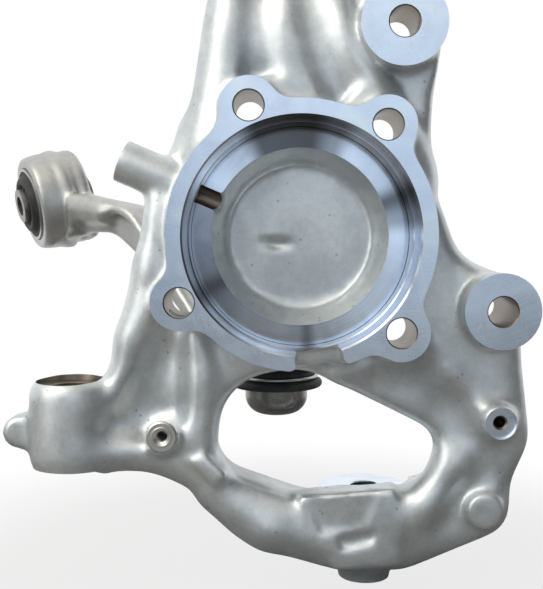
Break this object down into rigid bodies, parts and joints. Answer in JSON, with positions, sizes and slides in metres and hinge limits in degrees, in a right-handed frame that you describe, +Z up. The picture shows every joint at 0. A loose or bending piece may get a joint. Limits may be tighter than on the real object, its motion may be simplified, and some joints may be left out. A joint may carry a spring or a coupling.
{
  "type": "steering knuckle",
  "caption": "Cast aluminium steering knuckle with lobed bearing flange, caliper ears, steering arm and window, and a rear link on a booted ball joint.",
  "frame": {"origin": "centre of the wheel bearing's pilot bore, on the machined flange face", "axes": "-Y out of the bore towards the wheel, +Z up, +X to the right of somebody who looks at the flange face"},
  "size_m": [0.2896, 0.2229, 0.346],
  "materials": {
    "cast_aluminium": "as cast and blasted, matt; machined faces bright",
    "forged_aluminium": "forged and blasted, satin",
    "plated_steel": "zinc plated, satin",
    "dark_steel": "phosphated, dull",
    "plain_steel": "turned, satin",
    "seat_plastic": "natural, matt",
    "black_rubber": "moulded, matt"
  },
  "bodies": {
    "knuckle": {"knuckle_casting": "cast_aluminium", "hose_bracket_insert": "plated_steel", "ball_stud": "plain_steel", "stud_nut": "plated_steel"},
    "boot": {"ball_joint_boot": "black_rubber", "boot_stud_ring": "plain_steel"},
    "link": {"link_arm": "forged_aluminium", "ball_joint_housing": "dark_steel", "ball_seat": "seat_plastic", "boot_housing_ring": "plain_steel", "bush_outer_sleeve": "plain_steel", "bush_rubber": "black_rubber", "bush_inner_sleeve": "plain_steel"}
  },
  "joints": [
    {"name": "link_swivel", "type": "hinge", "parent": "knuckle", "child": "boot", "pos_m": [-0.0105, 0.075, -0.073], "axis": [0, 0, 1], "range_deg": [-25, 25]},
    {"name": "link_travel", "type": "hinge", "parent": "boot", "child": "link", "pos_m": [-0.0105, 0.075, -0.073], "axis": [0.8555, 0.4742, 0.2079], "range_deg": [-15, 15], "deforming": ["ball_joint_boot"]}
  ]
}
